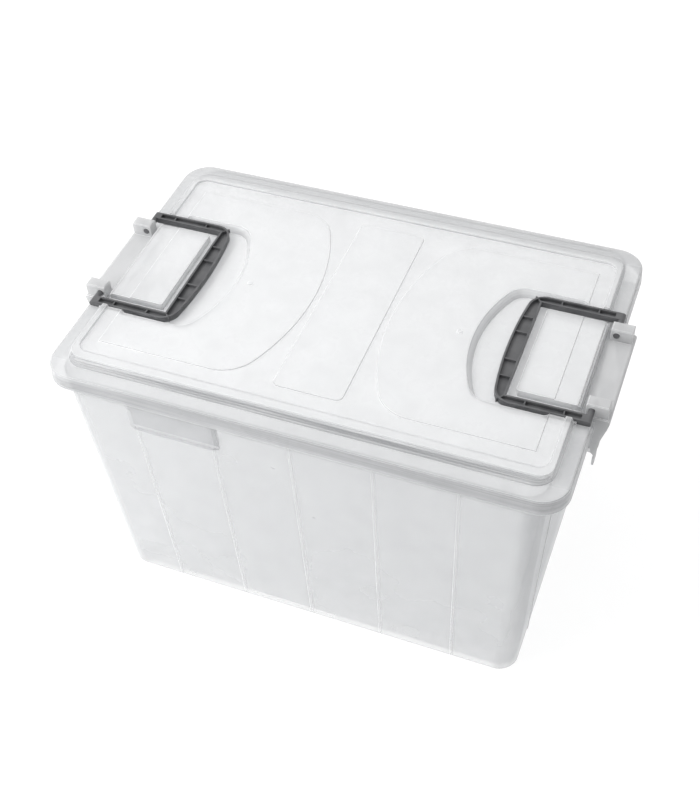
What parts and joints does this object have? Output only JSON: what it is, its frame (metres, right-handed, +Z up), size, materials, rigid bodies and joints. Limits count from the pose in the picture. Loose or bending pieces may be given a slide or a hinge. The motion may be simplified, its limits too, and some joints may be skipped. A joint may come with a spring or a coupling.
{
  "type": "lidded plastic storage box",
  "caption": "Clear plastic storage box with a lift-off lid, hinged end latches and dark folding carry handles that fold into the lid.",
  "frame": {"origin": "middle of the box's underside, on the surface it stands on", "axes": "+X along the length to the right end, -Y towards the front wall, +Z up"},
  "size_m": [0.5906, 0.3776, 0.3518],
  "materials": {
    "tub_plastic": "hazy translucent, smooth",
    "lid_plastic": "hazy translucent, smooth",
    "latch_plastic": "clear, smooth",
    "handle_plastic": "satin moulded"
  },
  "bodies": {
    "tub_body": {"tub": "tub_plastic"},
    "lid_body": {"lid": "lid_plastic"},
    "latch_left_body": {"latch_left": "latch_plastic"},
    "latch_right_body": {"latch_right": "latch_plastic"},
    "handle_left_body": {"handle_left": "handle_plastic"},
    "handle_right_body": {"handle_right": "handle_plastic"}
  },
  "joints": [
    {"name": "lid_lift", "type": "slide", "parent": "tub_body", "child": "lid_body", "axis": [0, 0, 1], "range_m": [0, 0.028]},
    {"name": "latch_left_swing", "type": "hinge", "parent": "tub_body", "child": "latch_left_body", "pos_m": [-0.278, 0, 0.272], "axis": [0, -1, 0], "range_deg": [0, 115]},
    {"name": "latch_right_swing", "type": "hinge", "parent": "tub_body", "child": "latch_right_body", "pos_m": [0.278, 0, 0.272], "axis": [0, 1, 0], "range_deg": [0, 115]},
    {"name": "handle_left_fold", "type": "hinge", "parent": "latch_left_body", "child": "handle_left_body", "pos_m": [-0.2755, 0, 0.3439], "axis": [0, -1, 0], "range_deg": [0, 180]},
    {"name": "handle_right_fold", "type": "hinge", "parent": "latch_right_body", "child": "handle_right_body", "pos_m": [0.2755, 0, 0.3439], "axis": [0, 1, 0], "range_deg": [0, 180]}
  ],
  "couplings": [
    {"joint": "latch_left_swing", "follows": "lid_lift", "rad_per_m": 71.6},
    {"joint": "latch_right_swing", "follows": "lid_lift", "rad_per_m": 71.6}
  ]
}
